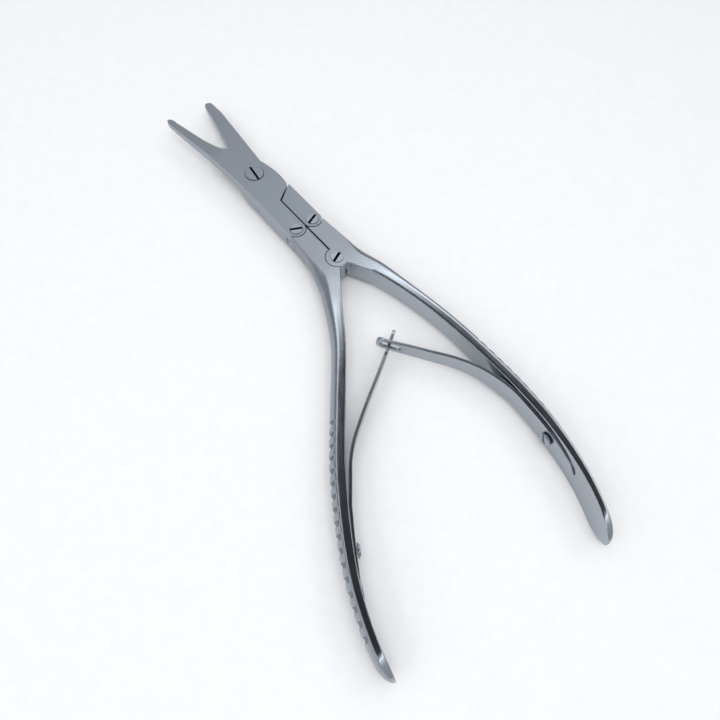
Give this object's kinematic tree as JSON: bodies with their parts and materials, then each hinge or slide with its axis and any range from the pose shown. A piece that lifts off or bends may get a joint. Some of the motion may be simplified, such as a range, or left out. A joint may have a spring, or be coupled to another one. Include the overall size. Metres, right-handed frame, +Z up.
{
  "type": "double-action spring shears",
  "caption": "Angled double-action hand shears: short lapped blades are driven through link screws by long curved handles, which crossed leaf springs push open.",
  "frame": {"origin": "on the rear pivot's axis, at the flat underside of the head", "axes": "+Y forward along the head through the front pivot to the blades, +X to the right-hand side, +Z up out of the head's top face, along every pivot's axis"},
  "size_m": [0.0832, 0.2006, 0.0104],
  "materials": {
    "handle_steel": "satin, lengthwise brushed grips with brighter rubbed edges",
    "blade_steel": "satin, glass-bead blasted flats with fine grinding marks",
    "screw_steel": "satin turned heads with a cut slot",
    "spring_steel": "darker polished strip"
  },
  "bodies": {
    "left_handle": {"left_handle": "handle_steel", "rear_pivot_screw": "screw_steel", "left_link_screw": "screw_steel", "left_spring_root": "spring_steel", "left_spring_screw": "screw_steel"},
    "right_handle": {"right_handle": "handle_steel", "right_link_screw": "screw_steel", "right_spring_root": "spring_steel", "right_spring_screw": "screw_steel"},
    "left_jaw": {"left_jaw": "blade_steel"},
    "right_jaw": {"right_jaw": "blade_steel", "front_pivot_screw": "screw_steel"},
    "left_leaf": {"left_spring_leaf": "spring_steel"},
    "right_leaf": {"right_spring_leaf": "spring_steel"}
  },
  "joints": [
    {"name": "squeeze", "type": "hinge", "parent": "left_handle", "child": "right_handle", "pos_m": [0, 0, 0], "axis": [0, 0, -1], "range_deg": [0, 32.4], "stiffness_Nm_per_rad": 2.5, "springref_deg": -5.73},
    {"name": "left_jaw_turn", "type": "hinge", "parent": "left_handle", "child": "left_jaw", "pos_m": [-0.0033, 0.0168, 0], "axis": [0, 0, -1], "range_deg": [0, 25.8]},
    {"name": "right_jaw_turn", "type": "hinge", "parent": "right_handle", "child": "right_jaw", "pos_m": [0.0033, 0.0168, 0], "axis": [0, 0, -1], "range_deg": [-25.8, 0]},
    {"name": "left_leaf_flex", "type": "hinge", "parent": "left_handle", "child": "left_leaf", "pos_m": [-0.04123, -0.05526, 0], "axis": [0, 0, -1], "range_deg": [-10.1, 0]},
    {"name": "right_leaf_flex", "type": "hinge", "parent": "right_handle", "child": "right_leaf", "pos_m": [0.01046, -0.06471, 0], "axis": [0, 0, -1], "range_deg": [0, 20.1]}
  ],
  "couplings": [
    {"joint": "left_jaw_turn", "follows": "squeeze", "ratio": 0.796},
    {"joint": "right_jaw_turn", "follows": "squeeze", "ratio": -0.796},
    {"joint": "left_leaf_flex", "follows": "squeeze", "ratio": -0.31},
    {"joint": "right_leaf_flex", "follows": "squeeze", "ratio": 0.62}
  ]
}
